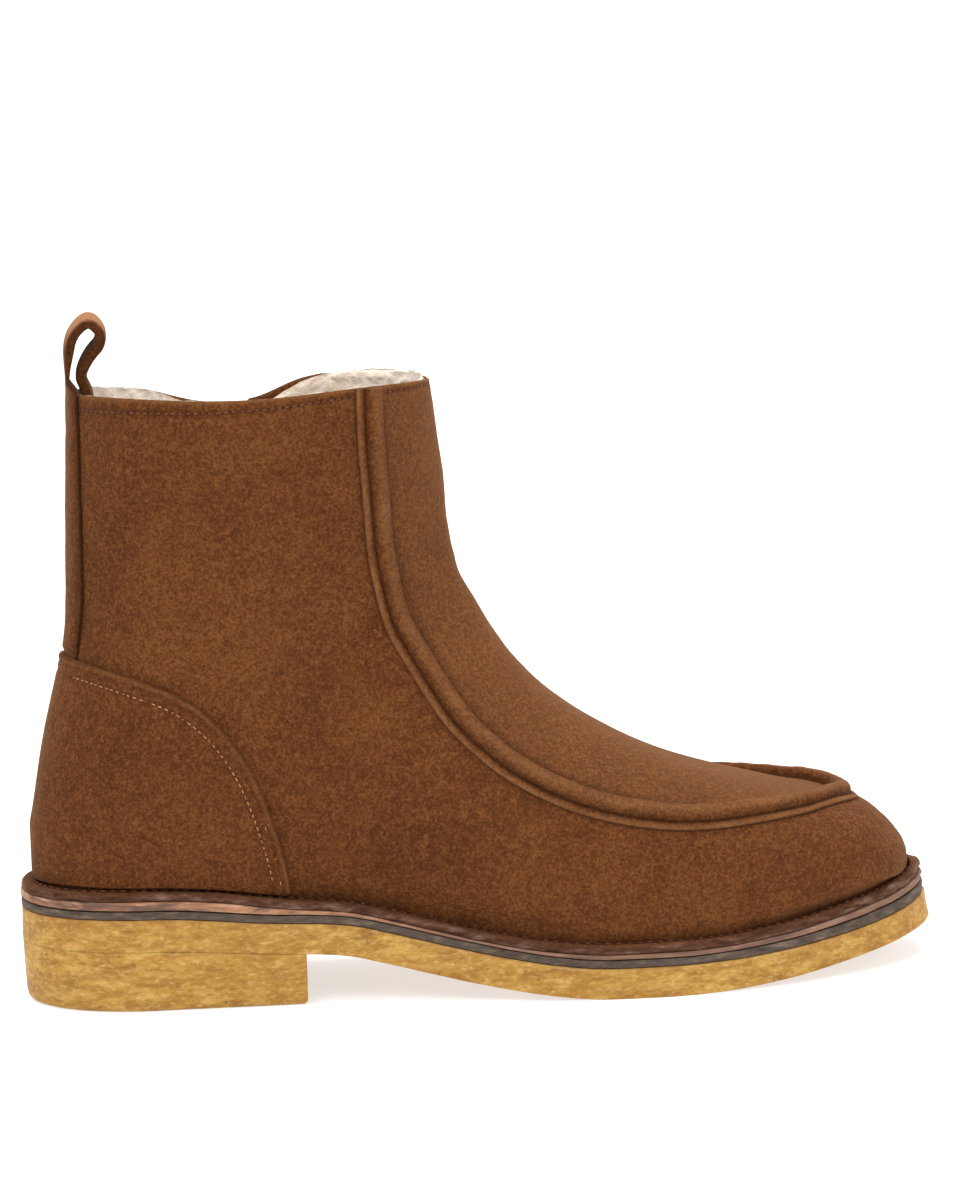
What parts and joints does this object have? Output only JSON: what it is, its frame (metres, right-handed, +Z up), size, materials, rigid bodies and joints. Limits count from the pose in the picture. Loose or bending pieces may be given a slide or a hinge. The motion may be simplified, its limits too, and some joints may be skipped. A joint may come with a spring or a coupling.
{
  "type": "ankle boot",
  "caption": "Right suede ankle boot with a raised apron seam, inner side zip with a pull tab, heel counter, pull loop, fleece insole and a layered crepe sole with a low block heel.",
  "frame": {"origin": "on the floor, at the middle of the boot's bounding box seen from above", "axes": "+X from the heel to the toe, +Y to the inner side of the foot, +Z up"},
  "size_m": [0.28, 0.0968, 0.2062],
  "materials": {
    "suede": "matte napped suede",
    "sole_leather": "matte cut edge",
    "dark_filler": "matte",
    "crepe_rubber": "matte fine grain",
    "fleece": "woolly pile",
    "zip_tape": "matte woven",
    "zip_metal": "aged satin"
  },
  "bodies": {
    "boot": {"upper": "suede", "heel_counter": "suede", "apron_seam": "suede", "back_strap": "suede", "welt": "suede", "midsole": "sole_leather", "filler": "dark_filler", "outsole": "crepe_rubber", "heel": "crepe_rubber", "insole": "fleece", "zip_tape": "zip_tape", "zip_chain": "zip_metal", "zip_slider": "zip_metal"},
    "pull": {"zip_pull": "zip_metal"}
  },
  "joints": [
    {"name": "zip_pull_hinge", "type": "hinge", "parent": "boot", "child": "pull", "pos_m": [-0.06703, 0.03795, 0.162], "axis": [0.9979, 0.0313, 0.0572], "range_deg": [0, 165]}
  ]
}
